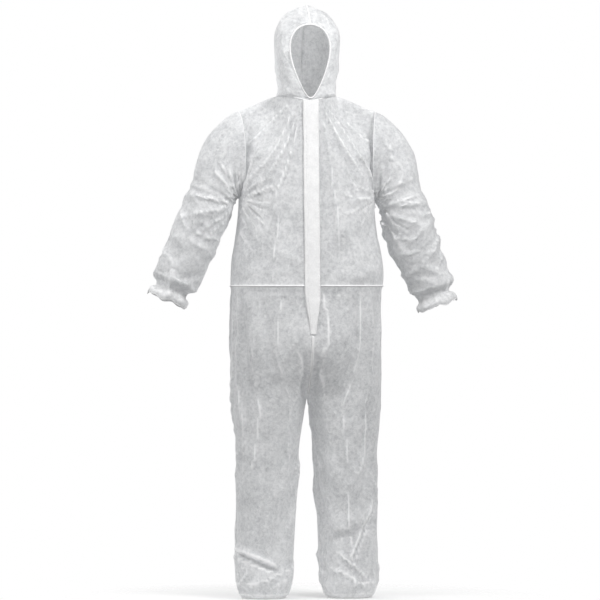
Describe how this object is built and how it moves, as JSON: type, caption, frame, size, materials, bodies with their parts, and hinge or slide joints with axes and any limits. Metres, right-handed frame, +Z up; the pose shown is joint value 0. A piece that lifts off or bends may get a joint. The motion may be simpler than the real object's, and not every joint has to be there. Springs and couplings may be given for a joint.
{
  "type": "hooded protective coverall",
  "caption": "White disposable one-piece protective suit with a hood, a long front zip under a storm flap, and elasticated face, waist, wrists and ankles.",
  "frame": {"origin": "middle of the neck at the height of the zip's top, where the suit hangs on the wearer's neck and shoulders", "axes": "+Z up the wearer's body, the front faces -Y, the wearer's left is +X"},
  "size_m": [0.9027, 0.3026, 1.7216],
  "materials": {
    "nonwoven_cloth": "matt, slightly see-through non-woven polypropylene with a fine bonded dot pattern",
    "seam_thread": "overlocked polyester thread",
    "elastic": "flat knitted elastic",
    "zip_tape": "close-woven tape",
    "zip_plastic": "moulded nylon and acetal, slightly satin",
    "label": "blank woven tape"
  },
  "bodies": {
    "torso": {"front_panel_left": "nonwoven_cloth", "front_panel_right": "nonwoven_cloth", "back_panel": "nonwoven_cloth", "trouser_seat_left": "nonwoven_cloth", "trouser_seat_right": "nonwoven_cloth", "neck_fold": "nonwoven_cloth", "neck_seam": "seam_thread", "shoulder_seams": "seam_thread", "side_seams": "seam_thread", "armhole_seam_left": "seam_thread", "armhole_seam_right": "seam_thread", "waist_seam": "seam_thread", "waist_elastic": "elastic", "crotch_seam": "seam_thread", "care_label": "label", "zip_tape_left": "zip_tape", "zip_tape_right": "zip_tape", "zip_teeth_left": "zip_plastic", "zip_teeth_right": "zip_plastic", "zip_top_stops": "zip_plastic", "zip_bottom_stop": "zip_plastic", "sleeve_shoulder_left": "nonwoven_cloth", "sleeve_shoulder_right": "nonwoven_cloth", "leg_hip_left": "nonwoven_cloth", "leg_hip_right": "nonwoven_cloth"},
    "hood": {"hood_panel_left": "nonwoven_cloth", "hood_panel_right": "nonwoven_cloth", "hood_centre_seam": "seam_thread", "face_hem": "nonwoven_cloth", "face_elastic": "elastic"},
    "slider": {"zip_slider": "zip_plastic"},
    "pull_tab": {"zip_pull_tab": "zip_plastic"},
    "flap": {"storm_flap": "nonwoven_cloth", "flap_stitching": "seam_thread"},
    "upper_sleeve_left": {"sleeve_upper_left": "nonwoven_cloth", "sleeve_elbow_left": "nonwoven_cloth"},
    "lower_sleeve_left": {"sleeve_lower_left": "nonwoven_cloth", "wrist_elastic_left": "elastic", "cuff_frill_left": "nonwoven_cloth"},
    "thigh_left": {"leg_thigh_left": "nonwoven_cloth", "leg_knee_left": "nonwoven_cloth"},
    "shin_left": {"leg_shin_left": "nonwoven_cloth", "ankle_elastic_left": "elastic", "ankle_frill_left": "nonwoven_cloth"},
    "upper_sleeve_right": {"sleeve_upper_right": "nonwoven_cloth", "sleeve_elbow_right": "nonwoven_cloth"},
    "lower_sleeve_right": {"sleeve_lower_right": "nonwoven_cloth", "wrist_elastic_right": "elastic", "cuff_frill_right": "nonwoven_cloth"},
    "thigh_right": {"leg_thigh_right": "nonwoven_cloth", "leg_knee_right": "nonwoven_cloth"},
    "shin_right": {"leg_shin_right": "nonwoven_cloth", "ankle_elastic_right": "elastic", "ankle_frill_right": "nonwoven_cloth"}
  },
  "joints": [
    {"name": "hood_tilt", "type": "hinge", "parent": "torso", "child": "hood", "pos_m": [0, 0.02, 0.04], "axis": [-1, 0, 0], "range_deg": [0, 35], "deforming": ["neck_fold"]},
    {"name": "zip_travel", "type": "slide", "parent": "torso", "child": "slider", "axis": [0, -0.0823, -0.9966], "range_m": [0, 0.604]},
    {"name": "pull_tab_swing", "type": "hinge", "parent": "slider", "child": "pull_tab", "pos_m": [0, -0.1023, -0.02172], "axis": [0, -0.9966, 0.0823], "range_deg": [-30, 75]},
    {"name": "flap_opens", "type": "hinge", "parent": "torso", "child": "flap", "pos_m": [-0.022, -0.12637, -0.29868], "axis": [0, -0.0823, -0.9966], "range_deg": [0, 150]},
    {"name": "shoulder_left", "type": "hinge", "parent": "torso", "child": "upper_sleeve_left", "pos_m": [0.24, 0, -0.2], "axis": [0, -1, 0], "range_deg": [-3, 40], "deforming": ["sleeve_shoulder_left"]},
    {"name": "elbow_left", "type": "hinge", "parent": "upper_sleeve_left", "child": "lower_sleeve_left", "pos_m": [0.30393, -0.03, -0.36625], "axis": [-0.9426, 0, -0.3338], "range_deg": [0, 75], "deforming": ["sleeve_elbow_left"]},
    {"name": "hip_left", "type": "hinge", "parent": "torso", "child": "thigh_left", "pos_m": [0.115, 0, -0.84], "axis": [-1, 0, 0], "range_deg": [-10, 45], "deforming": ["leg_hip_left"]},
    {"name": "knee_left", "type": "hinge", "parent": "thigh_left", "child": "shin_left", "pos_m": [0.118, 0.03, -1.025], "axis": [1, 0, 0], "range_deg": [0, 70], "deforming": ["leg_knee_left"]},
    {"name": "shoulder_right", "type": "hinge", "parent": "torso", "child": "upper_sleeve_right", "pos_m": [-0.24, 0, -0.2], "axis": [0, 1, 0], "range_deg": [-3, 40], "deforming": ["sleeve_shoulder_right"]},
    {"name": "elbow_right", "type": "hinge", "parent": "upper_sleeve_right", "child": "lower_sleeve_right", "pos_m": [-0.31036, -0.03, -0.3576], "axis": [-0.9135, 0, 0.4067], "range_deg": [0, 75], "deforming": ["sleeve_elbow_right"]},
    {"name": "hip_right", "type": "hinge", "parent": "torso", "child": "thigh_right", "pos_m": [-0.115, 0, -0.84], "axis": [-1, 0, 0], "range_deg": [-10, 45], "deforming": ["leg_hip_right"]},
    {"name": "knee_right", "type": "hinge", "parent": "thigh_right", "child": "shin_right", "pos_m": [-0.118, 0.03, -1.025], "axis": [1, 0, 0], "range_deg": [0, 70], "deforming": ["leg_knee_right"]}
  ]
}
